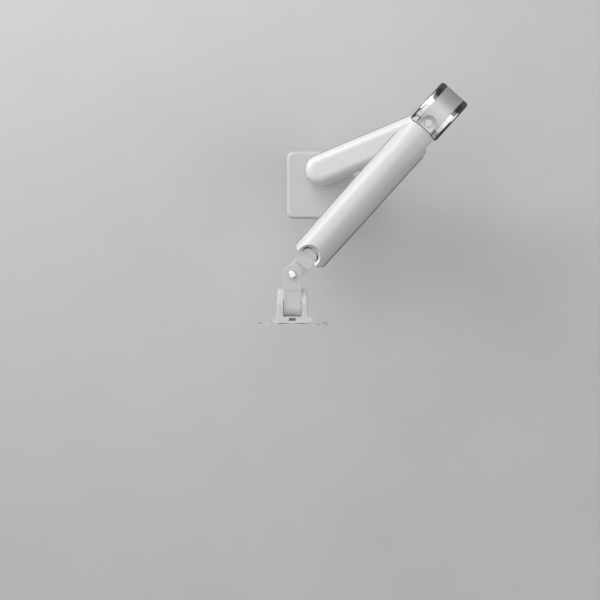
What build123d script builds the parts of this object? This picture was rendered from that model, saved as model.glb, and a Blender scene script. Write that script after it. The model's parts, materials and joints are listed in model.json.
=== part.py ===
from build123d import *
from math import cos, radians, sin
import os

# Desk-clamp monitor arm. Millimetres, +Z up, +Y towards the back edge of the desk.
# The origin lies on the base pan axis at the desk top. Every node is exported in this one frame.

# Layout of the chain
LOWER_ANGLE = 22.8        # heading of the lower arm, seen from above
LOWER_LENGTH = 267.0      # base pan axis to elbow axis
UPPER_ANGLE = 228.0       # heading of the upper arm
PAN_X = 465.2             # elbow axis to head pan axis, along the upper arm
HEAD_ANGLE = -90.0        # the head faces the user
AXLE_Z = 212.0            # height of the lift axle above the desk

# Base and clamp
BASE_WIDTH = 155.0
BASE_FRONT = -112.0
BASE_BACK = 44.0
BASE_CORNER = 15.0
BASE_TOP = 22.0
BASE_WALL = 2.8
DESK_EDGE = 35.0          # back edge of the desk
CLAMP_WIDTH = 100.0
CLAMP_PLATE = 6.0
JAW_TOP = -80.0
CLAMP_Y = -10.0           # spindle position
CLAMP_REST = -25.0        # pressure pad height for a 25 mm desk
SPINDLE_R = 6.0
POST_R = 17.0

# Lower arm
LOWER_WIDTH = 70.6
LOWER_BOTTOM = 42.0
LOWER_TOP = 96.0
ELBOW_POST_R = 16.0
ELBOW_FACE = 100.0        # top of the boss that carries the elbow
RUN = 0.05                # radial clearance of every running fit

# Upper arm, measured from the elbow axis at axle height, x towards the head
AXLE_X = -36.0            # lift axle, behind the elbow axis
AXLE_R = 8.0
FRONT_X = 399.5           # front pivot of the parallelogram
LINK_DROP = 34.0          # lower link pivots, below the upper pair
SPRING_DROP = 22.0        # gas spring pin, below the lift axle
SPRING_Z = -21.0          # gas spring centreline
PIN_R = 4.0
SPRING_PIN_R = 3.5
DRUM_R = 57.0             # chrome caps and elbow cover
COVER_HALF = 23.5         # half width of the elbow cover
CHEEK_IN = 16.0
PLATE_IN = 24.5           # frame side plates
PLATE_OUT = 30.5
CAP_IN = 24.0
CAP_OUT = 39.5
SHELL_REAR_HALF = 41.5
SHELL_FRONT_HALF = 39.5
SHELL_REAR_X = 52.0
SHELL_FRONT_X = 415.0
SHELL_BOTTOM = -20.0
SHELL_TOP = 36.0
NECK_TOP = 24.0
SHELL_WALL = 3.0
TRAY_BOTTOM = -47.0
NECK_HALF = 33.5

# Head, measured from the head pan axis at axle height, x towards the screen
HEAD_BOLT_R = 8.0
TILT_X = 74.0
TILT_R = 6.0
PLATE_X = 112.6           # rear face of the screen plate
PLATE_THICK = 3.0
SCREW_SPREAD = 75.0       # screen plate side screws

ELBOW_X = LOWER_LENGTH * cos(radians(LOWER_ANGLE))
ELBOW_Y = LOWER_LENGTH * sin(radians(LOWER_ANGLE))
HEAD_X = ELBOW_X + PAN_X * cos(radians(UPPER_ANGLE))
HEAD_Y = ELBOW_Y + PAN_X * sin(radians(UPPER_ANGLE))

BASE = Location((0, 0, 0))
LOWER = Location((0, 0, 0), (0, 0, LOWER_ANGLE))
UPPER = Location((ELBOW_X, ELBOW_Y, AXLE_Z), (0, 0, UPPER_ANGLE))
HEAD = Location((HEAD_X, HEAD_Y, AXLE_Z), (0, 0, HEAD_ANGLE))

os.makedirs("parts", exist_ok=True)


def block(x0, x1, y0, y1, z0, z1):
    """A box between two corners."""
    return Pos((x0 + x1) / 2, (y0 + y1) / 2, (z0 + z1) / 2) * Box(x1 - x0, y1 - y0, z1 - z0)


def cyl_z(x, y, z0, z1, r):
    return Pos(x, y, (z0 + z1) / 2) * Cylinder(r, z1 - z0)


def cyl_y(x, z, y0, y1, r):
    return Pos(x, (y0 + y1) / 2, z) * Rot(90, 0, 0) * Cylinder(r, y1 - y0)


def cyl_x(y, z, x0, x1, r):
    return Pos((x0 + x1) / 2, y, z) * Rot(0, 90, 0) * Cylinder(r, x1 - x0)


def ring_z(x, y, z0, z1, r_in, r_out):
    return cyl_z(x, y, z0, z1, r_out) - cyl_z(x, y, z0 - 1, z1 + 1, r_in)


def ring_y(x, z, y0, y1, r_in, r_out):
    return cyl_y(x, z, y0, y1, r_out) - cyl_y(x, z, y0 - 1, y1 + 1, r_in)


def ring_x(y, z, x0, x1, r_in, r_out):
    return cyl_x(y, z, x0, x1, r_out) - cyl_x(y, z, x0 - 1, x1 + 1, r_in)


def prism_z(outline, z0, z1):
    """An XY outline raised from z0 to z1."""
    return Pos(0, 0, z0) * extrude(outline, z1 - z0)


def prism_y(outline, y0, y1):
    """An outline drawn in x and z, from y0 to y1."""
    return Pos(0, y1, 0) * extrude(Plane.XZ * outline, y1 - y0)


def polygon(points):
    """A face through the given corners, in the order given."""
    return make_face(Polyline(*points, close=True).edges())


def disc(x, y, r):
    return Pos(x, y) * Circle(r)


def slot(x0, x1, r):
    """A face with two round ends centred at x0 and x1."""
    return Pos((x0 + x1) / 2, 0) * SlotOverall(x1 - x0 + 2 * r, 2 * r)


def hull(*faces):
    return make_hull([e for f in faces for e in f.edges()])


def both_sides(solid):
    """The solid and its mirror image in y, as two separate solids."""
    return [solid, mirror(solid, Plane.XZ)]


def edges_at(solid, z):
    """The edges that lie wholly at height z."""
    return solid.edges().filter_by(
        lambda e: abs(e.bounding_box().min.Z - z) < 0.01 and abs(e.bounding_box().max.Z - z) < 0.01
    )


def screw(head_r, head_h, shank_r, length, socket_r):
    """A socket screw along Z: its head stands above z = 0 and its shank hangs below."""
    head = cyl_z(0, 0, 0, head_h, head_r)
    head = fillet(edges_at(head, head_h), head_h * 0.3)
    socket = Pos(0, 0, head_h * 0.4) * extrude(RegularPolygon(socket_r, 6), head_h)
    return head - socket + cyl_z(0, 0, -length, 0, shank_r)


def countersunk(head_r, shank_r, length, socket_r):
    """A countersunk screw along Z, its flat head flush with z = 0."""
    depth = head_r - shank_r
    head = Pos(0, 0, -depth / 2) * Cone(shank_r, head_r, depth)
    socket = Pos(0, 0, -depth * 0.6) * extrude(RegularPolygon(socket_r, 6), depth)
    return head + cyl_z(0, 0, -length, -depth, shank_r) - socket


def save(node, place, *solids):
    """Move the solids from their local frame to the common one and write them as one node."""
    placed = [place * s for s in solids]
    whole = placed[0] if len(placed) == 1 else Compound(children=placed)
    export_step(whole, f"parts/{node}.step")


# ---------------------------------------------------------------- base and clamp

def base_outline(inset):
    """Rounded rectangle of the base, drawn in by inset on every side."""
    depth = BASE_BACK - BASE_FRONT - 2 * inset
    return Pos(0, (BASE_BACK + BASE_FRONT) / 2) * RectangleRounded(
        BASE_WIDTH - 2 * inset, depth, BASE_CORNER - inset
    )


PAD_TOP = 1.5
PLATE_TOP = 8.0
HUB_TOP = 40.0
POST_TOP = 82.0
BOLT_X = 38.0
BOLT_Y = 25.0
FLANGE_SCREWS = 22.0

plate_depth = DESK_EDGE - 0.2 + 106
plate_outline = Pos(0, DESK_EDGE - 0.2 - plate_depth / 2) * RectangleRounded(144, plate_depth, 10)
base_pad = prism_z(Pos(0, -36) * RectangleRounded(140, 136, 9), 0, PAD_TOP)
base_plate = prism_z(plate_outline, PAD_TOP, PLATE_TOP)
post_screws = []
for turn in (45, 135, 225, 315):
    x = FLANGE_SCREWS * cos(radians(turn))
    y = FLANGE_SCREWS * sin(radians(turn))
    base_plate -= cyl_z(x, y, 0, 10, 2.7)
    base_plate -= Pos(x, y, PAD_TOP + 1.25) * Cone(5.2, 2.7, 2.5)
    post_screws.append(Pos(x, y, PAD_TOP) * Rot(180, 0, 0) * countersunk(5.1, 2.6, 11.5, 1.6))
for x in (-BOLT_X, BOLT_X):
    base_plate -= cyl_z(x, BOLT_Y, 0, 10, 3.0)

cover = prism_z(base_outline(0), PAD_TOP + 0.5, BASE_TOP)
cover = fillet(edges_at(cover, BASE_TOP), 7)
cover -= prism_z(base_outline(BASE_WALL), 0, BASE_TOP - BASE_WALL)
cover -= cyl_z(0, 0, 0, BASE_TOP + 1, 28)
cover -= block(-51, -32, BASE_FRONT - 1, BASE_FRONT + 4.5, 12, 30)

base_post = cyl_z(0, 0, PLATE_TOP, 15, 30) + cyl_z(0, 0, 15, HUB_TOP, 27)
base_post += cyl_z(0, 0, HUB_TOP, POST_TOP, POST_R)
base_post = chamfer(edges_at(base_post, POST_TOP), 1.5)
groove = ring_z(0, 0, 57, 67, 14.5, 20)
groove -= Rot(0, 0, LOWER_ANGLE) * block(10, 25, -2, 2, 50, 75)
base_post -= groove
for turn in (45, 135, 225, 315):
    x = FLANGE_SCREWS * cos(radians(turn))
    y = FLANGE_SCREWS * sin(radians(turn))
    base_post -= cyl_z(x, y, PLATE_TOP - 1, 14, 2.6)

# C-shaped clamp bracket: top flange, back plate and lower jaw
back = DESK_EDGE + CLAMP_PLATE
profile = polygon([
    (12, PLATE_TOP), (DESK_EDGE, PLATE_TOP), (DESK_EDGE, JAW_TOP), (-38, JAW_TOP),
    (-38, JAW_TOP - 8), (back, JAW_TOP - 8), (back, PLATE_TOP + 6), (12, PLATE_TOP + 6),
])
bracket = Pos(-CLAMP_WIDTH / 2, 0, 0) * extrude(Plane.YZ * profile, CLAMP_WIDTH)
bends = bracket.edges().filter_by(Axis.X).filter_by(
    lambda e: abs(e.center().Y - back) < 0.1
)
bracket = fillet(bends, 5)
bracket -= cyl_z(0, 0, 0, 20, 31.5)
corner = prism_z(polygon([(-60, -50), (-60, -5), (-28, -50)]), JAW_TOP - 10, JAW_TOP + 2)
bracket -= corner
bracket -= mirror(corner, Plane.YZ)
bracket -= cyl_z(0, CLAMP_Y, JAW_TOP - 10, JAW_TOP + 2, 10)
clamp_bolts = []
for x in (-BOLT_X, BOLT_X):
    bracket -= cyl_z(x, BOLT_Y, 0, 20, 3.3)
    clamp_bolts.append(Pos(x, BOLT_Y, PLATE_TOP + 6) * screw(5.2, 3.3, 3.0, 11.5, 2.2))

nut = cyl_z(0, CLAMP_Y, JAW_TOP - 11.5, JAW_TOP, 10)
nut += cyl_z(0, CLAMP_Y, JAW_TOP, JAW_TOP + 3, 13)
nut -= cyl_z(0, CLAMP_Y, JAW_TOP - 20, JAW_TOP + 5, SPINDLE_R + RUN)

save("base_pad", BASE, base_pad)
save("base_plate", BASE, base_plate)
save("base_cover", BASE, cover)
save("base_post", BASE, base_post)
save("post_screws", BASE, *post_screws)
save("clamp_bracket", BASE, bracket)
save("clamp_bolts", BASE, *clamp_bolts)
save("clamp_nut", BASE, nut)

# Pressure foot and the spindle that lifts it
foot = cyl_z(0, CLAMP_Y, CLAMP_REST - 6, CLAMP_REST - 2, 23)
foot = fillet(edges_at(foot, CLAMP_REST - 6), 1.5)
foot += cyl_z(0, CLAMP_Y, CLAMP_REST - 14, CLAMP_REST - 6, 10.5)
foot -= cyl_z(0, CLAMP_Y, CLAMP_REST - 20, CLAMP_REST - 8, SPINDLE_R + RUN)
save("clamp_pressure_plate", BASE, foot)
save("clamp_pressure_pad", BASE, cyl_z(0, CLAMP_Y, CLAMP_REST - 2, CLAMP_REST, 22))

KNOB_TOP = -110.0
spindle = cyl_z(0, CLAMP_Y, KNOB_TOP - 16, CLAMP_REST - 9, SPINDLE_R)
spindle = chamfer(edges_at(spindle, CLAMP_REST - 9), 1)
knob_face = Circle(20)
for lobe in range(6):
    x = 19 * cos(radians(60 * lobe))
    y = 19 * sin(radians(60 * lobe))
    knob_face += disc(x, y, 7)
knob = Pos(0, CLAMP_Y, 0) * prism_z(knob_face, KNOB_TOP - 22, KNOB_TOP - 2)
knob = fillet(edges_at(knob, KNOB_TOP - 22), 3)
knob += cyl_z(0, CLAMP_Y, KNOB_TOP - 2, KNOB_TOP, 12)
knob -= cyl_z(0, CLAMP_Y, KNOB_TOP - 16, KNOB_TOP + 1, SPINDLE_R)
save("clamp_spindle", BASE, spindle)
save("clamp_knob", BASE, knob)

# ---------------------------------------------------------------- lower arm

half = LOWER_WIDTH / 2
casting = prism_z(slot(0, LOWER_LENGTH, half), LOWER_BOTTOM, LOWER_TOP)
casting = fillet(edges_at(casting, LOWER_TOP), 20)
casting = fillet(edges_at(casting, LOWER_BOTTOM), 6)
casting += cyl_z(LOWER_LENGTH, 0, LOWER_TOP - 20, ELBOW_FACE, 31)
casting -= cyl_z(0, 0, LOWER_BOTTOM - 1, 86, 21)
casting -= cyl_z(LOWER_LENGTH, 0, LOWER_BOTTOM - 1, ELBOW_FACE + 1, 20)
casting -= cyl_z(LOWER_LENGTH, 0, LOWER_BOTTOM - 1, 50, 26)
casting -= prism_z(slot(72, 198, 26), LOWER_BOTTOM - 1, 86)
casting -= prism_z(slot(72, 198, 29), LOWER_BOTTOM - 1, LOWER_BOTTOM + 3)
TRIM_Z = 60.0
TRIM_PROUD = 1.6
trim_groove = prism_z(slot(0, LOWER_LENGTH, half + 2) - slot(0, LOWER_LENGTH, half - 1), TRIM_Z, TRIM_Z + 3)
casting -= trim_groove
trim = slot(0, LOWER_LENGTH, half + TRIM_PROUD) - slot(0, LOWER_LENGTH, half - 1)
trim = prism_z(trim, TRIM_Z, TRIM_Z + 3)
lock_screw = cyl_x(0, 62, -half + 3, -15.2, 4) - cyl_x(0, 62, -half + 2, -half + 7, 2)
casting -= cyl_x(0, 62, -half - 3, -20, 4)
trim -= cyl_x(0, 62, -half - 3, -20, 4.5)

cable_cover = prism_z(slot(72, 198, 28.8), LOWER_BOTTOM, LOWER_BOTTOM + 2.9)
for x in (95, 175):
    for leg in both_sides(block(x - 10, x + 10, 22.8, 25.8, LOWER_BOTTOM + 2, LOWER_BOTTOM + 16)):
        cable_cover += leg

base_bush_lower = ring_z(0, 0, HUB_TOP, 56, POST_R + RUN, 21)
base_bush_lower += ring_z(0, 0, HUB_TOP, LOWER_BOTTOM, POST_R + RUN, 28)
base_bush_upper = ring_z(0, 0, 68, 84, POST_R + RUN, 21)
elbow_bush_upper = ring_z(LOWER_LENGTH, 0, 82, ELBOW_FACE + 2, ELBOW_POST_R + RUN, 20)
elbow_bush_upper += ring_z(LOWER_LENGTH, 0, ELBOW_FACE, ELBOW_FACE + 2, ELBOW_POST_R + RUN, 28)
elbow_bush_lower = ring_z(LOWER_LENGTH, 0, 50, 66, ELBOW_POST_R + RUN, 20)

save("lower_arm_casting", LOWER, casting)
save("lower_arm_trim", LOWER, trim)
save("lower_arm_cable_cover", LOWER, cable_cover)
save("base_bushes", LOWER, base_bush_lower, base_bush_upper)
save("pan_lock_screw", LOWER, lock_screw)
save("elbow_bushes", LOWER, elbow_bush_upper, elbow_bush_lower)

# ---------------------------------------------------------------- elbow

HUB_LOW = ELBOW_FACE + 2 - AXLE_Z
FLOOR_TOP = 150.0 - AXLE_Z
POST_LOW = 50.2 - AXLE_Z

post = cyl_z(0, 0, POST_LOW, FLOOR_TOP - 10, ELBOW_POST_R) - cyl_z(0, 0, POST_LOW - 1, POST_LOW + 20, 4)
hub = cyl_z(0, 0, HUB_LOW, FLOOR_TOP, 31)
hub = chamfer(edges_at(hub, HUB_LOW), 1)
cheek_face = polygon([
    (-56, FLOOR_TOP - 10), (30, FLOOR_TOP - 10), (30, FLOOR_TOP + 2), (10, -24), (10, 22.9),
    (-36, 22.9), (-60, 0), (-58, -20),
])
cheek_face += disc(AXLE_X, 0, 24)
cheeks = prism_y(cheek_face, -COVER_HALF, COVER_HALF)
cheeks -= block(-50, 60, -CHEEK_IN, CHEEK_IN, FLOOR_TOP, 12)
cheeks -= block(-90, -8, -CHEEK_IN, CHEEK_IN, 0, 40)
elbow_bracket = hub + cheeks
elbow_bracket -= cyl_z(0, 0, HUB_LOW - 1, FLOOR_TOP - 10, ELBOW_POST_R)
elbow_bracket -= cyl_y(AXLE_X, 0, -30, 30, AXLE_R)
elbow_bracket -= cyl_y(AXLE_X, -LINK_DROP, -30, 30, PIN_R)
elbow_bracket -= cyl_y(AXLE_X, -SPRING_DROP, -30, 30, SPRING_PIN_R)
for hook_slot in both_sides(block(-6.3, 6.3, 12.6, CHEEK_IN, 5, 24)):
    elbow_bracket -= hook_slot
for hook_seat in both_sides(block(-6.3, 6.3, CHEEK_IN, CHEEK_IN + 1.9, 7.5, 11.9)):
    elbow_bracket -= hook_seat

retainer = ring_z(0, 0, POST_LOW - 4, POST_LOW - 0.25, 4.1, 24)
retainer_screw = Pos(0, 0, POST_LOW - 4) * Rot(180, 0, 0) * screw(7, 4.5, 4.0, 22, 3)

POCKET_R = 17.0
POCKET_Z = 26.0
BADGE_R = 9.6


def pocket(r, z0, z1):
    """A U-shaped well around the elbow axis, open towards the head."""
    return cyl_z(0, 0, z0, z1, r) + block(0, 40, -r, r, z0, z1)


drum = cyl_y(AXLE_X, 0, -COVER_HALF, COVER_HALF, DRUM_R)
skin = drum - cyl_y(AXLE_X, 0, -30, 30, DRUM_R - 3)
SEAM = 22.7
START = 242.0
gone = [(AXLE_X, 0), (AXLE_X + 200 * cos(radians(START)), 200 * sin(radians(START)))]
gone += [(AXLE_X + 200 * cos(radians(a)), 200 * sin(radians(a))) for a in (290, 340)]
gone += [(AXLE_X + 200 * cos(radians(SEAM)), 200 * sin(radians(SEAM)))]
skin -= prism_y(polygon(gone), -30, 30)
well = (pocket(POCKET_R + 2.5, POCKET_Z - 3, 70) - pocket(POCKET_R, POCKET_Z, 71)) & drum
well -= prism_y(polygon(gone), -30, 30)
elbow_cover = skin - pocket(POCKET_R, POCKET_Z, 71) + well
hook = block(-6, 6, CHEEK_IN - 3, CHEEK_IN - 0.1, 8, POCKET_Z - 3)
hook += block(-6, 6, CHEEK_IN - 3, CHEEK_IN + 1.5, 8, 11.5)
for leg in both_sides(hook):
    elbow_cover += leg
for notch in both_sides(block(2, 30, COVER_HALF - 2.5, COVER_HALF + 3, 0, 60)):
    elbow_cover -= notch
badge = cyl_z(0, 0, POCKET_Z, POCKET_Z + 1.6, BADGE_R)
badge = fillet(edges_at(badge, POCKET_Z + 1.6), 0.8)
badge -= ring_z(0, 0, POCKET_Z + 1.1, POCKET_Z + 3, BADGE_R - 3.4, BADGE_R - 2.2)

axle = cyl_y(AXLE_X, 0, -33.4, 33.4, AXLE_R)
clip_low, clip_high = 31.0, 32.6
for ring in both_sides(ring_y(AXLE_X, 0, clip_low, clip_high, AXLE_R - 0.8, AXLE_R + 2)):
    axle -= ring
axle_clips = both_sides(ring_y(AXLE_X, 0, clip_low, clip_high, AXLE_R - 0.8, AXLE_R + 3.5))

save("elbow_bracket", UPPER, elbow_bracket)
save("elbow_post", UPPER, post)
save("elbow_retainer", UPPER, retainer)
save("elbow_retainer_screw", UPPER, retainer_screw)
save("elbow_cover", UPPER, elbow_cover)
save("elbow_badge", UPPER, badge)
save("lift_axle", UPPER, axle)
save("lift_axle_clips", UPPER, *axle_clips)
save("link_rear_pin", UPPER, cyl_y(AXLE_X, -LINK_DROP, -COVER_HALF, COVER_HALF, PIN_R))
save("spring_pin", UPPER, cyl_y(AXLE_X, -SPRING_DROP, -COVER_HALF, COVER_HALF, SPRING_PIN_R))

# ---------------------------------------------------------------- upper arm frame

PLATE_TOP_Z = 17.0
PLATE_LOW_Z = -18.0
CROSS_X = FRONT_X - 42    # rear face of the crosspiece that holds the tension screw
CROSS_FRONT = CROSS_X + 8
side_end = FRONT_X - 20
side = disc(AXLE_X, 0, 51) + polygon([
    (AXLE_X, PLATE_LOW_Z), (side_end, PLATE_LOW_Z), (side_end, PLATE_TOP_Z), (105, PLATE_TOP_Z),
    (85, 10), (AXLE_X, 10),
])
root = [(FRONT_X - 34, -16), (FRONT_X - 24, -16), (FRONT_X - 24, 16), (FRONT_X - 34, 16)]
side += hull(disc(FRONT_X, 0, 11), polygon(root))
arm_frame = prism_y(side, PLATE_IN, PLATE_OUT) + prism_y(side, -PLATE_OUT, -PLATE_IN)
arm_frame += block(105, CROSS_FRONT + 2, -PLATE_IN, PLATE_IN, PLATE_TOP_Z - 3, PLATE_TOP_Z)
arm_frame += block(CROSS_X, CROSS_FRONT, -PLATE_IN, PLATE_IN, PLATE_LOW_Z, PLATE_TOP_Z)
arm_frame += block(CROSS_X, CROSS_FRONT, -10, 10, -31, -10)
for boss in both_sides(cyl_y(FRONT_X, 0, 19.3, PLATE_IN, 10)):
    arm_frame += boss
arm_frame -= cyl_y(FRONT_X, 0, -40, 40, 4.5)
arm_frame -= cyl_y(AXLE_X, 0, -40, 40, 11)
arm_frame -= cyl_x(0, SPRING_Z, CROSS_X - 5, CROSS_FRONT + 5, 4 + RUN)

lift_bush = ring_y(AXLE_X, 0, COVER_HALF + RUN, PLATE_OUT, AXLE_R + RUN, 11)
lift_bush += ring_y(AXLE_X, 0, COVER_HALF + RUN, PLATE_IN, AXLE_R + RUN, 16)

# Outer shell: an arched section drawn forward, cut to its plan and its side outline


def arch(half_width, low, top):
    """The D-shaped section of the shell, with its flat side at the height low."""
    spring_line = -2.0
    crown = Pos(0, spring_line) * Ellipse(half_width, top - spring_line)
    crown -= Pos(0, spring_line - 50) * Rectangle(200, 100)
    sides = Pos(0, (low + spring_line) / 2) * Rectangle(2 * half_width, spring_line - low)
    return crown + sides


def crown_height(x):
    """Height of the shell's crown: low at the neck, rising smoothly to its full height."""
    rise = min(max((x - 5) / 115, 0), 1)
    return NECK_TOP + (SHELL_TOP - NECK_TOP) * rise * rise * (3 - 2 * rise)


def shell_half(x):
    """Half width of the shell's straight sides."""
    return SHELL_REAR_HALF + (SHELL_FRONT_HALF - SHELL_REAR_HALF) * (x + 60) / 500


def shell_section(x, inset, low):
    """The shell's section at one place along the arm."""
    return Plane.YZ.offset(x) * arch(shell_half(x) - inset, low, crown_height(x) - inset)


def arched_bar(inset, low):
    """The shell's section lofted along its rising neck and along its straight front."""
    neck = [shell_section(x, inset, low) for x in (-50, -25, 0, 25, 50, 75, 100, 125)]
    front = [shell_section(x, inset, low) for x in (125, 440)]
    return loft(neck) + loft(front)


def plan_outline(inset):
    """Half plan of the shell with its narrow neck, mirrored into a whole face."""
    rear_x = SHELL_REAR_X + inset
    half_plan = [
        (-10, 0), (-10, NECK_HALF - inset), (rear_x - 6, NECK_HALF - inset),
        (rear_x, 39.5 - inset), (rear_x + 10, 50),
        (SHELL_FRONT_X - 17 - inset, 50), (SHELL_FRONT_X - inset, 31.5 - inset), (SHELL_FRONT_X - inset, 0),
    ]
    whole = half_plan + [(x, -y) for x, y in reversed(half_plan[1:-1])]
    return polygon(whole)


ARCH_X = 409.7            # centre of the round opening at the front
ARCH_R = 27.0
THROAT_R = 20.2
THROAT_Z = 20.0
KNUCKLE_SWING = 21.0      # reach of the knuckle around the front pivot, where it turns inside the shell
arch_cut = cyl_z(ARCH_X, 0, -70, 11.01, ARCH_R - 0.5)
throat = cyl_z(ARCH_X, 0, 0, THROAT_Z, THROAT_R) + cyl_z(ARCH_X, 0, THROAT_Z + 6, 60, ARCH_R)
throat += Pos(ARCH_X, 0, THROAT_Z + 3) * Cone(THROAT_R, ARCH_R, 6)
throat += block(ARCH_X, ARCH_X + 30, -THROAT_R, THROAT_R, 0, THROAT_Z + 6)

shell = arched_bar(0, SHELL_BOTTOM) & prism_z(plan_outline(0), -60, 60)
hollow = arched_bar(SHELL_WALL, -60) & prism_z(plan_outline(SHELL_WALL - 0.5), -60, 60)
hollow -= block(SHELL_FRONT_X - 3, 500, -60, 60, -60, 60)
shell -= hollow
lip = (cyl_z(ARCH_X, 0, 8, 60, 34) & arched_bar(1, -60) & prism_z(plan_outline(0), -60, 60))
lip -= block(0, 500, -19, 19, -60, PLATE_TOP_Z + 0.5) + block(0, 500, -60, 60, -60, 11)
shell += lip
for ear_space in both_sides(block(340, 430, 18, PLATE_OUT + 0.5, -30, PLATE_TOP_Z + 0.5)):
    shell -= ear_space
shell -= arch_cut + throat
shell -= cyl_y(FRONT_X, 0, -30, 30, KNUCKLE_SWING + 0.8)
shell -= cyl_y(AXLE_X, 0, -80, 80, DRUM_R + 1.5)
ribs = block(110, 350, -23, 23, PLATE_TOP_Z, SHELL_TOP) - block(80, 360, -20, 20, 0, SHELL_TOP)
shell += ribs & arched_bar(1, -60)

# Lower tray of the upper arm
tray = arched_bar(0, -60) & prism_z(plan_outline(0), TRAY_BOTTOM, SHELL_BOTTOM - 0.8)
tray &= block(SHELL_REAR_X + 2, 500, -60, 60, -60, 0)
low_edges = edges_at(tray, TRAY_BOTTOM)
tray = fillet(low_edges, 8)
tray_hollow = arched_bar(SHELL_WALL, -60) & prism_z(plan_outline(SHELL_WALL), TRAY_BOTTOM + SHELL_WALL, 0)
tray_hollow &= block(SHELL_REAR_X + 5, 500, -60, 60, -60, 0)
tray -= tray_hollow
tray -= arch_cut
tray -= block(SHELL_REAR_X - 10, SHELL_REAR_X + 10, -26, 26, -60, 0)
tray_screws = []
for x in (95, 350):
    for y in (-30, 30):
        post_solid = cyl_z(x, y, TRAY_BOTTOM + 1, SHELL_BOTTOM - 0.8, 5.5)
        tray += post_solid & prism_z(plan_outline(1), -60, 60)
        tray -= cyl_z(x, y, TRAY_BOTTOM - 1, 0, 2.1)
        tray -= cyl_z(x, y, TRAY_BOTTOM - 1, TRAY_BOTTOM + 3, 4.2)
        arm_frame += cyl_z(x, y * 27.5 / 30, SHELL_BOTTOM, PLATE_LOW_Z + 1, 3)
        tray_screws.append(
            Pos(x, y, TRAY_BOTTOM + 3) * Rot(180, 0, 0) * screw(3.8, 2.6, 2.0, 22, 1.4)
        )

# Bright bead along the joint of shell and tray, with a tongue held in the joint

BEAD_PROUD = 2.2
BEAD_REAR = 63.0
BEAD_FRONT = 404.0
bead_face = polygon([
    (BEAD_REAR, shell_half(BEAD_REAR)), (BEAD_REAR + 3, shell_half(BEAD_REAR) + BEAD_PROUD),
    (BEAD_FRONT, shell_half(BEAD_FRONT) + BEAD_PROUD), (BEAD_FRONT + 2, shell_half(BEAD_FRONT)),
])
bead = prism_z(bead_face, SHELL_BOTTOM - 3, SHELL_BOTTOM + 2.4)
bead_edges = bead.edges().filter_by(
    lambda e: e.bounding_box().min.Y > shell_half(BEAD_FRONT) + BEAD_PROUD - 0.1 and e.length > 50
)
bead = fillet(bead_edges, 1.8)
tongue_face = polygon([
    (100, shell_half(100) - 3.2), (100, shell_half(100)), (392, shell_half(392)), (392, shell_half(392) - 3.2),
])
bead += prism_z(tongue_face, SHELL_BOTTOM - 0.8, SHELL_BOTTOM)
trim_strips = both_sides(bead)

# Chrome caps over the lift pivot


def drum_cap():
    """The cap on the positive y side, with its rim open where the frame passes."""
    cap = cyl_y(AXLE_X, 0, CAP_IN, CAP_OUT, DRUM_R)
    rim = cap.edges().filter_by(
        lambda e: abs(e.bounding_box().min.Y - CAP_OUT) < 0.01
    )
    cap = fillet(rim, 7)
    cap -= cyl_y(AXLE_X, 0, CAP_IN - 1, 34, DRUM_R - 4.7)
    cap -= block(0, 60, CAP_IN - 1, PLATE_OUT + 0.5, PLATE_LOW_Z - 0.5, PLATE_TOP_Z + 0.5)
    return cap


cap_right = drum_cap()
cap_left = mirror(cap_right, Plane.XZ)

save("upper_arm_frame", UPPER, arm_frame)
save("upper_arm_shell", UPPER, shell)
save("upper_arm_tray", UPPER, tray)
save("upper_arm_trim", UPPER, *trim_strips)
save("tray_screws", UPPER, *tray_screws)
save("drum_cap_right", UPPER, cap_right)
save("drum_cap_left", UPPER, cap_left)
save("lift_bushes", UPPER, *both_sides(lift_bush))
save("front_pivot_pin", UPPER, cyl_y(FRONT_X, 0, -PLATE_OUT, PLATE_OUT, 4.5))

# ---------------------------------------------------------------- gas spring and tension screw

CYL_REAR = 110.0
CYL_FRONT = 326.0
gas_cylinder = cyl_x(0, SPRING_Z, CYL_REAR, CYL_FRONT, 10)
gas_cylinder = fillet(gas_cylinder.edges(), 1.5)
gas_cylinder -= cyl_x(0, SPRING_Z, CYL_REAR + 10, CYL_FRONT - 8, 8)
gas_cylinder -= cyl_x(0, SPRING_Z, CYL_REAR - 1, CYL_REAR + 12, 5 + RUN)
gas_cylinder += cyl_x(0, SPRING_Z, CYL_FRONT - 1, CYL_FRONT + 6, 4)

EYE_R = 8.5
eye = cyl_y(AXLE_X, SPRING_Z, -6, 6, EYE_R)
rod = eye + cyl_x(0, SPRING_Z, AXLE_X + 5, 202, 5)
rod -= cyl_y(AXLE_X, SPRING_Z, -10, 10, SPRING_PIN_R + 1.15)
rod += cyl_x(0, SPRING_Z, 200, 208, 7.9)

NUT_FRONT = CYL_FRONT + 24
SCREW_TIP = CYL_FRONT + 12
tension_nut = block(CYL_FRONT, NUT_FRONT, -11, 11, -31, -8)
tension_nut = chamfer(tension_nut.edges().filter_by(Axis.X), 2)
tension_nut -= cyl_x(0, SPRING_Z, CYL_FRONT - 1, CYL_FRONT + 6, 4)
tension_nut -= cyl_x(0, SPRING_Z, CYL_FRONT + 6, NUT_FRONT + 5, 4 + RUN)
head_x = CROSS_FRONT + 0.2
tension_screw = cyl_x(0, SPRING_Z, SCREW_TIP, head_x, 4) + cyl_x(0, SPRING_Z, head_x, head_x + 6, 6.5)
tension_screw += cyl_x(0, SPRING_Z, CROSS_X - 2.2, CROSS_X - 0.2, 6)
socket = Location((head_x + 2, 0, SPRING_Z), (0, 90, 0)) * extrude(RegularPolygon(3, 6), 6)
tension_screw -= socket

save("gas_cylinder", UPPER, gas_cylinder)
save("piston_rod", UPPER, rod)
save("tension_nut", UPPER, tension_nut)
save("tension_screw", UPPER, tension_screw)

# ---------------------------------------------------------------- lower link

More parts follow.
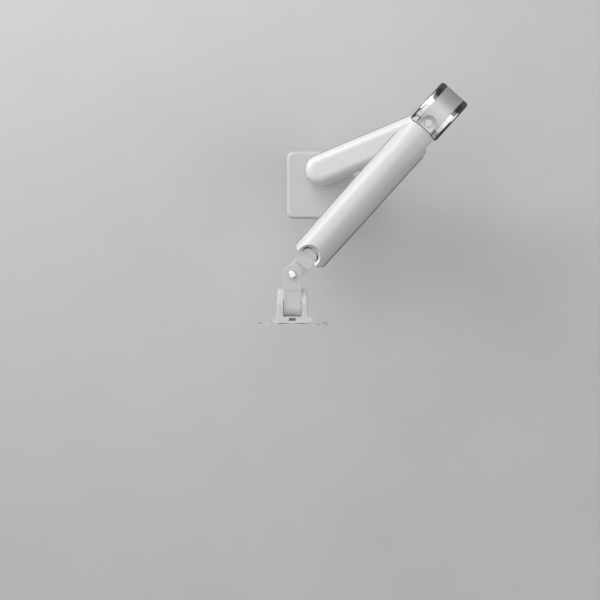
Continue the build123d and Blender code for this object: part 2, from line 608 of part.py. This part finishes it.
link_face = Pos(0, -LINK_DROP) * slot(AXLE_X, FRONT_X, 7)
lower_link = prism_y(link_face, 11.5, 14.5) + prism_y(link_face, -14.5, -11.5)
lower_link += block(36, 340, -11.5, 11.5, -LINK_DROP - 7, -LINK_DROP - 4)
lower_link -= cyl_y(AXLE_X, -LINK_DROP, -20, 20, PIN_R + RUN)
lower_link -= cyl_y(FRONT_X, -LINK_DROP, -20, 20, PIN_R + RUN)
save("lower_link", UPPER, lower_link)

# ---------------------------------------------------------------- front bracket

KNUCKLE_R = 18.7
KNUCKLE_TOP = 18.4
KNUCKLE_FRONT = PAN_X - 30
knuckle = disc(ARCH_X, 0, KNUCKLE_R) + polygon([
    (ARCH_X, -KNUCKLE_R), (KNUCKLE_FRONT, -KNUCKLE_R), (KNUCKLE_FRONT, KNUCKLE_R), (ARCH_X, KNUCKLE_R),
])
knuckle = prism_z(knuckle, -24, 24)
knuckle = fillet(knuckle.edges().filter_by(Axis.Z).filter_by(lambda e: e.center().X > ARCH_X + 5), 6)
swing = cyl_y(FRONT_X, 0, -40, 40, KNUCKLE_SWING) + block(ARCH_X, PAN_X, -40, 40, 0, KNUCKLE_TOP)
knuckle &= swing + block(0, PAN_X, -40, 40, -40, 0)
lug_foot = [(FRONT_X - 8, -22), (FRONT_X + 20, -22), (FRONT_X + 20, -18), (FRONT_X - 8, -18)]
lug_face = hull(disc(FRONT_X, -LINK_DROP, 9), polygon(lug_foot))
front_bracket = knuckle + prism_y(lug_face, -11, 11)
tongue = prism_z(Pos(PAN_X - 21, 0) * Rectangle(42, 37) + disc(PAN_X, 0, 18.5), -12, 12)
tongue = chamfer(edges_at(tongue, 12), 1)
front_bracket += tongue
front_bracket -= cyl_y(FRONT_X, 0, -30, 30, 6.5)
front_bracket -= cyl_y(FRONT_X, -LINK_DROP, -30, 30, PIN_R)
front_bracket -= cyl_z(PAN_X, 0, -30, 30, 11)

front_bush = ring_y(FRONT_X, 0, -18.5, 18.5, 4.5 + RUN, 6.5)
for flange in both_sides(ring_y(FRONT_X, 0, 18.5, 19.2, 4.5 + RUN, 8.5)):
    front_bush += flange
front_pin = cyl_y(FRONT_X, -LINK_DROP, -14.7, 14.7, PIN_R)
for head in both_sides(cyl_y(FRONT_X, -LINK_DROP, 14.7, 16.4, 6)):
    front_pin += head
head_bush = ring_z(PAN_X, 0, -12, 12, HEAD_BOLT_R + RUN, 11)
for z in (-12.5, 12):
    head_bush += ring_z(PAN_X, 0, z, z + 0.5, HEAD_BOLT_R + RUN, 16)

save("front_bracket", UPPER, front_bracket)
save("front_bush", UPPER, front_bush)
save("link_front_pin", UPPER, front_pin)
save("head_bush", UPPER, head_bush)

# ---------------------------------------------------------------- head

EAR = 21.5
LINK_HALF = 22.2
SHOULDER_X = 29.5
NECK_IN = 20.4            # half width of the link between the tilt bracket's ears
shoulder = polygon([(0, -LINK_HALF), (SHOULDER_X, -LINK_HALF), (SHOULDER_X, LINK_HALF), (0, LINK_HALF)])
link_plan = disc(0, 0, LINK_HALF) + shoulder
neck_plan = Pos((SHOULDER_X + TILT_X + EAR) / 2, 0) * Rectangle(TILT_X + EAR - SHOULDER_X + 2, 2 * NECK_IN)
pan_link = prism_z(link_plan + neck_plan, -EAR, EAR)
side_round = disc(TILT_X, 0, EAR) + polygon([(-30, -EAR), (TILT_X, -EAR), (TILT_X, EAR), (-30, EAR)])
pan_link &= prism_y(side_round, -30, 30)
pan_link = fillet(edges_at(pan_link, EAR).filter_by(lambda e: e.center().X < TILT_X - 4), 1.2)
pan_link -= cyl_z(0, 0, -12.5, 12.5, 21.5) + block(-30, 19.2, -30, 30, -12.5, 12.5)
pan_link -= cyl_z(0, 0, -30, 30, HEAD_BOLT_R)
pan_link -= cyl_y(TILT_X, 0, -30, 30, 9)
panel = Pos(54, 0) * RectangleRounded(34, 30, 3)
pan_link -= prism_z(panel, EAR - 1, EAR + 1)

pivot = cyl_z(0, 0, -27, EAR + 1.5, HEAD_BOLT_R)
dome = cyl_z(0, 0, EAR + 1.5, EAR + 6, 9.4)
dome = fillet(edges_at(dome, EAR + 6), 3.2)
for turn in (0, 90):
    dome -= Rot(0, 0, turn) * block(-4.5, 4.5, -0.8, 0.8, EAR + 3.6, EAR + 8)
head_screw = pivot + dome
head_washers = [ring_z(0, 0, EAR, EAR + 1.5, HEAD_BOLT_R + 0.2, 10.2)]
head_washers.append(ring_z(0, 0, -EAR - 1.5, -EAR, HEAD_BOLT_R + 0.2, 12.5))
head_nut = Pos(0, 0, -EAR - 7) * extrude(RegularPolygon(12.5, 6), 5.5)
head_nut -= cyl_z(0, 0, -40, 0, HEAD_BOLT_R)
tilt_bush = ring_y(TILT_X, 0, -NECK_IN, NECK_IN, TILT_R + RUN, 9)

save("pan_link", HEAD, pan_link)
save("head_pivot_screw", HEAD, head_screw)
save("head_pivot_washers", HEAD, *head_washers)
save("head_pivot_nut", HEAD, head_nut)
save("tilt_bush", HEAD, tilt_bush)

SIDE_R = 28.0
EAR_IN = 21.2
EAR_REAR = 32.5
FOOT_REAR = 97.0
FOOT_FRONT = 111.0
RECESS_X = 105.5          # seat of the screen pivot nut, between the humps of the foot
ear_plan = polygon([
    (EAR_REAR, EAR_IN), (EAR_REAR, 32.5), (FOOT_REAR + 1, 37.2), (FOOT_REAR + 1, EAR_IN),
])
ear_side = disc(TILT_X, 0, SIDE_R) + polygon([
    (TILT_X, -SIDE_R), (FOOT_REAR + 1, -SIDE_R), (FOOT_REAR + 1, SIDE_R), (TILT_X, SIDE_R),
])
ear_side += hull(disc(TILT_X, 0, SIDE_R), polygon([
    (EAR_REAR, -11), (EAR_REAR + 1, -11), (EAR_REAR + 1, 11), (EAR_REAR, 11),
]))
ear = prism_z(ear_plan, -40, 40) & prism_y(ear_side, 0, 60)
long_rims = ear.edges().filter_by(lambda e: e.bounding_box().min.Y > 32.4)
ear = fillet(long_rims, 3)
ear -= cyl_y(TILT_X, 0, 28.5, 60, 11)
ear -= cyl_y(TILT_X, 0, 0, 60, TILT_R)
foot_depth = FOOT_FRONT - FOOT_REAR
hump_plan = Pos(FOOT_REAR + foot_depth / 2, 27) * RectangleRounded(foot_depth, 36.8, 4)
hump = prism_z(hump_plan, -32, 32)
foot_plate = block(RECESS_X, FOOT_FRONT, -42, 42, -34, 34)
foot_plate = fillet(foot_plate.edges().filter_by(Axis.X), 8)
tilt_bracket = foot_plate
for part in both_sides(ear) + both_sides(hump):
    tilt_bracket += part
tilt_bracket -= cyl_x(0, 0, 90, 120, TILT_R + RUN)
tilt_bracket -= cyl_x(0, 0, FOOT_FRONT - 1.1, 120, 29)

tilt_bolt = cyl_y(TILT_X, 0, -28.5, 33.6, TILT_R)
bolt_head = cyl_y(TILT_X, 0, -33.5, -28.5, 9.5)
bolt_head -= Location((TILT_X, -31, 0), (90, 0, 0)) * extrude(RegularPolygon(4, 6), 6)
tilt_bolt += bolt_head
tilt_nut = Location((TILT_X, 28.6, 0), (-90, 0, 0)) * extrude(RegularPolygon(10, 6), 4.8)
tilt_nut -= cyl_y(TILT_X, 0, 20, 40, TILT_R)
tilt_washers = both_sides(ring_y(TILT_X, 0, NECK_IN + 0.05, EAR_IN, TILT_R + 0.1, 15))

save("tilt_bracket", HEAD, tilt_bracket)
save("tilt_bolt", HEAD, tilt_bolt)
save("tilt_nut", HEAD, tilt_nut)
save("tilt_washers", HEAD, *tilt_washers)

# Screen plate that turns on the tilt bracket
FACE_X = PLATE_X + PLATE_THICK
plate_face = RectangleRounded(122, 122, 10) + RectangleRounded(162, 38, 8)
for spread in (37.5, 50.0):
    for y in (-spread, spread):
        for z in (-spread, spread):
            plate_face -= disc(y, z, 2.5)
screen_plate = extrude(Plane.YZ.offset(PLATE_X) * plate_face, PLATE_THICK)
screen_plate += ring_x(0, 0, FOOT_FRONT + 0.6, PLATE_X, TILT_R, 34)
screen_plate -= cyl_x(0, 0, 105, 120, TILT_R)
screen_plate -= Location((FACE_X - 1.5, 0, 0), (0, 90, 0)) * Cone(TILT_R, TILT_R + 3, 3)
side_screws = []
for y in (-SCREW_SPREAD, SCREW_SPREAD):
    screen_plate -= cyl_x(y, 0, 100, 120, 2)
    side_screws.append(Location((PLATE_X, y, 0), (0, -90, 0)) * screw(3.8, 3.0, 2.0, 3.0, 1.4))
pivot_bolt = Location((FACE_X, 0, 0), (0, 90, 0)) * countersunk(TILT_R + 3, TILT_R, 16.2, 3)
pivot_nut = Location((99.5, 0, 0), (0, 90, 0)) * extrude(RegularPolygon(8.4, 6), 5.2)
pivot_nut -= cyl_x(0, 0, 90, 120, TILT_R)
spacers = [ring_x(0, 0, FOOT_FRONT - 1.1, FOOT_FRONT + 0.6, TILT_R + RUN, 28)]
spacers.append(ring_x(0, 0, 104.7, RECESS_X - 0.05, TILT_R + 0.1, 8.4))

save("screen_plate", HEAD, screen_plate)
save("screen_side_screws", HEAD, *side_screws)
save("screen_pivot_bolt", HEAD, pivot_bolt)
save("screen_pivot_nut", HEAD, pivot_nut)
save("screen_washers", HEAD, *spacers)
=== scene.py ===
import json
import math

import bmesh
import bpy
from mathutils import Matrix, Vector


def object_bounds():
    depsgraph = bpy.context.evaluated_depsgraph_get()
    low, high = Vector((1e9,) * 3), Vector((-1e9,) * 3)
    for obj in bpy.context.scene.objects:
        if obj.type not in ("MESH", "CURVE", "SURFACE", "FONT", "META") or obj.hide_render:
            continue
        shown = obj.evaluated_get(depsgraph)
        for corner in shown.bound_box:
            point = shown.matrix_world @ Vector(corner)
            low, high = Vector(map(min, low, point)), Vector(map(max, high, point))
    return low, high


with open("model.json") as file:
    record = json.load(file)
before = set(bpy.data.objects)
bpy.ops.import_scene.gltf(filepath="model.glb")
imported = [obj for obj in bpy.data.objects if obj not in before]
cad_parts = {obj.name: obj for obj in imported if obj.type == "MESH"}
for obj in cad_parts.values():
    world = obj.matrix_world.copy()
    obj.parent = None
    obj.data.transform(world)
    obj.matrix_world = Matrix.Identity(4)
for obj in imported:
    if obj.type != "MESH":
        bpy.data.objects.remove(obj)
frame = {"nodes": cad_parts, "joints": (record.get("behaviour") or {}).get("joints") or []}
cad_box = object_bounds()
nodes = frame["nodes"]
joints = {j["name"]: j for j in frame["joints"]}

# ------------------------------------------------------------------ materials


class Nodes:
    """A short way to build one material's node tree."""

    def __init__(self, name):
        self.material = bpy.data.materials.new(name)
        self.material.use_nodes = True
        self.tree = self.material.node_tree
        self.tree.nodes.clear()
        self.shader = self.tree.nodes.new("ShaderNodeBsdfPrincipled")
        output = self.tree.nodes.new("ShaderNodeOutputMaterial")
        self.link(self.shader.outputs["BSDF"], output.inputs["Surface"])
        self.coords = self.tree.nodes.new("ShaderNodeTexCoord").outputs["Object"]

    def link(self, a, b):
        self.tree.links.new(a, b)

    def set(self, **values):
        for name, value in values.items():
            self.shader.inputs[name.replace("_", " ")].default_value = value

    def mapping(self, scale, rotation):
        node = self.tree.nodes.new("ShaderNodeMapping")
        node.inputs["Scale"].default_value = scale
        node.inputs["Rotation"].default_value = rotation
        self.link(self.coords, node.inputs["Vector"])
        return node.outputs["Vector"]

    def noise(self, scale, detail=3.0, roughness=0.5, vector=None):
        node = self.tree.nodes.new("ShaderNodeTexNoise")
        node.inputs["Scale"].default_value = scale
        node.inputs["Detail"].default_value = detail
        node.inputs["Roughness"].default_value = roughness
        self.link(vector or self.coords, node.inputs["Vector"])
        return node.outputs["Fac"]

    def cells(self, scale):
        node = self.tree.nodes.new("ShaderNodeTexVoronoi")
        node.inputs["Scale"].default_value = scale
        self.link(self.coords, node.inputs["Vector"])
        return node.outputs["Distance"]

    def spread(self, value, low, high, start=0.3, end=0.7):
        """Maps a value between start and end onto low to high."""
        node = self.tree.nodes.new("ShaderNodeMapRange")
        node.inputs["From Min"].default_value = start
        node.inputs["From Max"].default_value = end
        node.inputs["To Min"].default_value = low
        node.inputs["To Max"].default_value = high
        self.link(value, node.inputs["Value"])
        return node.outputs["Result"]

    def ramp(self, value, *stops):
        node = self.tree.nodes.new("ShaderNodeValToRGB")
        elements = node.color_ramp.elements
        while len(elements) < len(stops):
            elements.new(0.5)
        for element, (position, colour) in zip(elements, stops):
            element.position = position
            element.color = (*colour, 1.0)
        self.link(value, node.inputs["Fac"])
        return node.outputs["Color"]

    def bump(self, *layers):
        """Layers of (height, strength, distance) stacked on each other."""
        normal = None
        for height, strength, distance in layers:
            node = self.tree.nodes.new("ShaderNodeBump")
            node.inputs["Strength"].default_value = strength
            node.inputs["Distance"].default_value = distance
            self.link(height, node.inputs["Height"])
            if normal is not None:
                self.link(normal, node.inputs["Normal"])
            normal = node.outputs["Normal"]
        self.link(normal, self.shader.inputs["Normal"])

    def colour(self, socket):
        self.link(socket, self.shader.inputs["Base Color"])

    def rough(self, socket):
        self.link(socket, self.shader.inputs["Roughness"])


def grey(value, warm=0.0):
    return (value + warm, value, value - warm)


def paint(name, tone, rough, peel, coat=0.0, texture=0.25):
    """Powder coat or enamel: faint mottling, soft rub marks and an orange-peel surface."""
    m = Nodes(name)
    m.set(Coat_Weight=coat, Coat_Roughness=0.12, Specular_IOR_Level=0.5)
    mottle = m.noise(9.0, 4.0, 0.55)
    m.colour(m.ramp(mottle, (0.3, grey(tone * 0.975)), (0.7, grey(tone))))
    m.rough(m.spread(m.noise(38.0, 5.0, 0.6), rough * 0.85, rough * 1.2))
    coarse = m.noise(peel, 2.0, 0.5)
    fine = m.noise(peel * 5.0, 1.0, 0.5)
    m.bump((coarse, texture, 0.00004), (fine, texture * 0.4, 0.00001))
    return m.material


def moulded(name, tone, rough, grain):
    """Moulded plastic with a fine spark-eroded grain and slight shine from handling."""
    m = Nodes(name)
    m.set(Specular_IOR_Level=0.5)
    mottle = m.noise(14.0, 3.0, 0.5)
    m.colour(m.ramp(mottle, (0.3, grey(tone * 0.97)), (0.7, grey(tone))))
    m.rough(m.spread(m.noise(26.0, 4.0, 0.6), rough * 0.85, rough * 1.18))
    m.bump((m.cells(grain), 0.35, 0.00003))
    return m.material


def metal(name, colour, rough, streak, turn=0.0):
    """Machined metal: fine drawn streaks along the local x direction, turned about Z."""
    m = Nodes(name)
    m.set(Metallic=1.0)
    lines = m.mapping((streak * 0.02, streak, streak), (0, 0, -turn))
    drawn = m.noise(1.0, 4.0, 0.6, lines)
    dark = tuple(c * 0.88 for c in colour)
    m.colour(m.ramp(drawn, (0.3, dark), (0.7, colour)))
    m.rough(m.spread(drawn, rough * 0.65, rough * 1.35))
    m.bump((drawn, 0.12, 0.00002))
    return m.material


def polished(name, tone, rough):
    """Chrome plate with the faintest smears and polishing haze."""
    m = Nodes(name)
    m.set(Metallic=1.0)
    haze = m.noise(22.0, 5.0, 0.6)
    m.colour(m.ramp(haze, (0.3, grey(tone * 0.97)), (0.7, grey(tone))))
    m.rough(m.spread(haze, rough * 0.5, rough * 1.6, 0.35, 0.75))
    m.bump((m.noise(260.0, 2.0, 0.5), 0.03, 0.00001))
    return m.material


def satin_metal(name, tone, rough, turn):
    """Satin metallic lacquer: bright flakes over a drawn base."""
    m = Nodes(name)
    m.set(Metallic=0.45, Coat_Weight=0.10, Coat_Roughness=0.3)
    drawn = m.noise(1.0, 3.0, 0.6, m.mapping((16.0, 700.0, 16.0), (0, 0, -turn)))
    flakes = m.cells(2600.0)
    m.colour(m.ramp(drawn, (0.25, grey(tone * 0.94)), (0.75, grey(tone, 0.004))))
    m.rough(m.spread(drawn, rough * 0.88, rough * 1.15))
    m.bump((flakes, 0.18, 0.000015), (drawn, 0.10, 0.00001))
    return m.material


def rubber(name):
    m = Nodes(name)
    m.set(Specular_IOR_Level=0.3)
    dust = m.noise(30.0, 6.0, 0.65)
    m.colour(m.ramp(dust, (0.35, (0.020, 0.020, 0.021)), (0.8, (0.045, 0.044, 0.042))))
    m.rough(m.spread(dust, 0.72, 0.92))
    ribs = m.tree.nodes.new("ShaderNodeTexWave")
    ribs.inputs["Scale"].default_value = 120.0
    m.link(m.coords, ribs.inputs["Vector"])
    m.bump((ribs.outputs["Fac"], 0.35, 0.0002), (m.noise(900.0, 2.0), 0.3, 0.00005))
    return m.material


upper_heading = math.atan2(*reversed(joints["tension_travel"]["axis"][:2]))
lower_vector = Vector(joints["elbow_pan"]["pos_m"][:2])
lower_heading = math.atan2(lower_vector.y, lower_vector.x)

white_shell = paint("white_shell", 0.79, 0.30, 700.0, coat=0.18, texture=0.12)
white_cast = paint("white_cast", 0.75, 0.38, 520.0, texture=0.40)
# Painted light: the lower arm's white is set lighter than the arm's other white parts to brighten its
# top, on top of its glossier coat
white_gloss_painted_light = paint("white_gloss_painted_light", 0.90, 0.26, 520.0, coat=0.45, texture=0.25)
white_coat = paint("white_coat", 0.75, 0.40, 620.0, texture=0.35)
white_plastic = moulded("white_plastic", 0.73, 0.36, 1500.0)
silver = satin_metal("silver_lacquer", 0.78, 0.46, upper_heading)
chrome = polished("chrome", 0.86, 0.055)
# Painted shade: chrome with its base colour darkened to stand in for the dark reflections seen along
# the arm trims
chrome_painted_shade = polished("chrome_painted_shade", 0.26, 0.10)
zinc = metal("zinc_steel", (0.56, 0.57, 0.59), 0.30, 900.0, upper_heading)
turned = metal("turned_steel", (0.50, 0.50, 0.51), 0.24, 700.0)
brass = metal("brass", (0.66, 0.47, 0.20), 0.30, 800.0, upper_heading)
black_paint = paint("black_enamel", 0.022, 0.35, 800.0)
black_plastic = moulded("black_plastic", 0.030, 0.48, 1300.0)
bush_plastic = moulded("bush_plastic", 0.16, 0.45, 1600.0)
pad_rubber = rubber("pad_rubber")

finishes = {
    white_shell: ["upper_arm_shell", "upper_arm_tray"],
    white_cast: ["elbow_bracket", "upper_arm_frame", "front_bracket", "pan_link", "tilt_bracket"],
    white_gloss_painted_light: ["lower_arm_casting"],
    white_coat: ["base_post", "clamp_bracket", "lower_link", "screen_plate"],
    white_plastic: ["base_cover", "lower_arm_cable_cover"],
    silver: ["elbow_cover"],
    chrome: ["drum_cap_left", "drum_cap_right", "head_pivot_screw"],
    chrome_painted_shade: ["lower_arm_trim", "upper_arm_trim"],
    zinc: [
        "base_plate", "post_screws", "clamp_bolts", "clamp_nut", "clamp_pressure_plate",
        "pan_lock_screw", "elbow_badge", "elbow_retainer", "elbow_retainer_screw", "lift_axle_clips",
        "tray_screws", "head_pivot_washers", "head_pivot_nut", "tilt_nut", "tilt_washers", "tilt_bolt",
        "screen_side_screws", "screen_pivot_bolt", "screen_pivot_nut", "tension_screw",
    ],
    turned: [
        "clamp_spindle", "elbow_post", "lift_axle", "link_rear_pin", "spring_pin", "front_pivot_pin",
        "link_front_pin", "piston_rod",
    ],
    brass: ["tension_nut"],
    black_paint: ["gas_cylinder"],
    black_plastic: ["clamp_knob"],
    bush_plastic: [
        "base_bushes", "elbow_bushes", "lift_bushes", "front_bush", "head_bush", "tilt_bush",
        "screen_washers",
    ],
    pad_rubber: ["base_pad", "clamp_pressure_pad"],
}
for material, names in finishes.items():
    for name in names:
        mesh = nodes[name].data
        mesh.materials.clear()
        mesh.materials.append(material)

# Edge breaks in metres: a cast or moulded piece catches light along its edges
edge_breaks = {
    0.0008: ["front_bracket", "pan_link", "tilt_bracket", "elbow_bracket"],
    0.0005: ["upper_arm_shell", "upper_arm_tray", "elbow_cover", "lower_arm_casting", "screen_plate"],
    0.0003: ["clamp_bracket", "base_cover", "clamp_knob", "base_post", "upper_arm_frame"],
}
for width, names in edge_breaks.items():
    for name in names:
        bevel = nodes[name].modifiers.new("edge_break", "BEVEL")
        bevel.width = width
        bevel.segments = 2
        bevel.limit_method = "ANGLE"
        bevel.angle_limit = math.radians(40)
        bevel.harden_normals = True

# ------------------------------------------------------------------ stage, light and camera

FLOOR_RADIUS = 30.0
FLOOR_GAP = 0.001

low, high = cad_box
screw_drop = min(joints["clamp_travel"]["range_m"])
floor_z = low.z + screw_drop - FLOOR_GAP  # below the clamp knob at its lowest
floor_mesh = bpy.data.meshes.new("floor")
shape = bmesh.new()
bmesh.ops.create_circle(shape, cap_ends=True, segments=96, radius=FLOOR_RADIUS)
shape.to_mesh(floor_mesh)
shape.free()
floor = bpy.data.objects.new("floor", floor_mesh)
floor.location = (0, 0, floor_z)
bpy.context.scene.collection.objects.link(floor)
ground = Nodes("floor_grey")
ground.set(Specular_IOR_Level=0.2)
pale = ground.ramp(ground.noise(6.0, 4.0, 0.6), (0.3, grey(0.725)), (0.7, grey(0.745)))
# Painted reflection: the floor takes a dark colour for glossy rays only, so polished pieces mirror it
# darker than it is
floor_painted_reflection = ground.tree.nodes.new("ShaderNodeMix")
floor_painted_reflection.data_type = "RGBA"
floor_painted_reflection.inputs["B"].default_value = (0.10, 0.10, 0.10, 1)
ray = ground.tree.nodes.new("ShaderNodeLightPath")
ground.link(ray.outputs["Is Glossy Ray"], floor_painted_reflection.inputs["Factor"])
ground.link(pale, floor_painted_reflection.inputs["A"])
ground.colour(floor_painted_reflection.outputs["Result"])
ground.rough(ground.spread(ground.noise(60.0), 0.6, 0.75))
floor_mesh.materials.append(ground.material)

world = bpy.data.worlds.new("studio")
bpy.context.scene.world = world
world.use_nodes = True
sky = world.node_tree
sky.nodes.clear()
background = sky.nodes.new("ShaderNodeBackground")
sky_out = sky.nodes.new("ShaderNodeOutputWorld")
sky.links.new(background.outputs["Background"], sky_out.inputs["Surface"])
direction = sky.nodes.new("ShaderNodeTexCoord").outputs["Generated"]
eye = sky.nodes.new("ShaderNodeLightPath")


def sky_ramp(value, *stops):
    """A grey level for a 0 to 1 value."""
    node = sky.nodes.new("ShaderNodeValToRGB")
    elements = node.color_ramp.elements
    while len(elements) < len(stops):
        elements.new(0.5)
    for element, (position, level) in zip(elements, stops):
        element.position = position
        element.color = (level, level, level, 1)
    sky.links.new(value, node.inputs["Fac"])
    return node.outputs["Color"]


def sky_mix(factor, a, b):
    """Mixes a and b, each an output or a plain grey level."""
    node = sky.nodes.new("ShaderNodeMix")
    node.data_type = "RGBA"
    sky.links.new(factor, node.inputs["Factor"])
    for socket, value in (("A", a), ("B", b)):
        if isinstance(value, float):
            node.inputs[socket].default_value = (value, value, value, 1)
        else:
            sky.links.new(value, node.inputs[socket])
    return node.outputs["Result"]


# Soft light from all round for matt surfaces: brighter towards the upper left of the view
toward = sky.nodes.new("ShaderNodeVectorMath")
toward.operation = "DOT_PRODUCT"
toward.inputs[1].default_value = Vector((-0.80, 0.25, 0.55)).normalized()
sky.links.new(direction, toward.inputs[0])
half = sky.nodes.new("ShaderNodeMapRange")
half.inputs["From Min"].default_value = -1.0
sky.links.new(toward.outputs["Value"], half.inputs["Value"])
soft = sky_ramp(half.outputs["Result"], (0.15, 0.34), (0.60, 0.32), (0.95, 0.80))

# What polished pieces mirror: a dim room with one bright window on the left and a pale ceiling
split = sky.nodes.new("ShaderNodeSeparateXYZ")
sky.links.new(direction, split.inputs["Vector"])
window = sky_ramp(
    half.outputs["Result"],
    (0.20, 0.10), (0.50, 0.04), (0.66, 0.12), (0.72, 1.1), (0.88, 1.2), (0.93, 0.25),
)
overhead = sky_ramp(split.outputs["Z"], (0.02, 0.0), (0.60, 0.03), (0.80, 0.40), (0.93, 0.46))
mirrored = sky.nodes.new("ShaderNodeMix")
mirrored.data_type = "RGBA"
mirrored.blend_type = "ADD"
mirrored.inputs["Factor"].default_value = 1.0
sky.links.new(window, mirrored.inputs["A"])
sky.links.new(overhead, mirrored.inputs["B"])

lit = sky_mix(eye.outputs["Is Glossy Ray"], soft, mirrored.outputs["Result"])
seen = sky_mix(eye.outputs["Is Camera Ray"], lit, 0.80)
sky.links.new(seen, background.inputs["Color"])
background.inputs["Strength"].default_value = 0.62


def area_light(name, place, target, size, power):
    """A round soft light: places in metres, size in metres, power in watts."""
    light = bpy.data.lights.new(name, "AREA")
    light.shape = "DISK"
    light.size = size
    light.energy = power
    lamp = bpy.data.objects.new(name, light)
    lamp.location = place
    aim = Vector(target) - Vector(place)
    lamp.rotation_mode = "QUATERNION"
    lamp.rotation_quaternion = aim.to_track_quat("-Z", "Y")
    bpy.context.scene.collection.objects.link(lamp)


middle = (low + high) / 2
area_light("key", (-3.2, 1.9, 1.05), middle, 2.2, 60.0)
area_light("top", (-0.4, 1.4, 3.4), middle, 3.6, 18.0)
area_light("back", (-0.9, 1.7, 1.3), (0.12, 0.06, 0.1), 1.2, 13.0)
area_light("fill", (2.8, -0.6, 2.2), middle, 3.0, 21.0)

# The view is straight down from far away, wide enough for the screen that the arm would carry
CAMERA_HEIGHT = 15.0
VIEW_WIDTH = 1.392
VIEW_CENTRE = (-0.0476, -0.3004)
camera_data = bpy.data.cameras.new("camera")
camera_data.lens = camera_data.sensor_width * CAMERA_HEIGHT / VIEW_WIDTH
camera_data.clip_end = 60.0
camera = bpy.data.objects.new("camera", camera_data)
camera.location = (*VIEW_CENTRE, CAMERA_HEIGHT)
bpy.context.scene.collection.objects.link(camera)
bpy.context.scene.camera = camera
bpy.context.scene.view_settings.view_transform = "Standard"
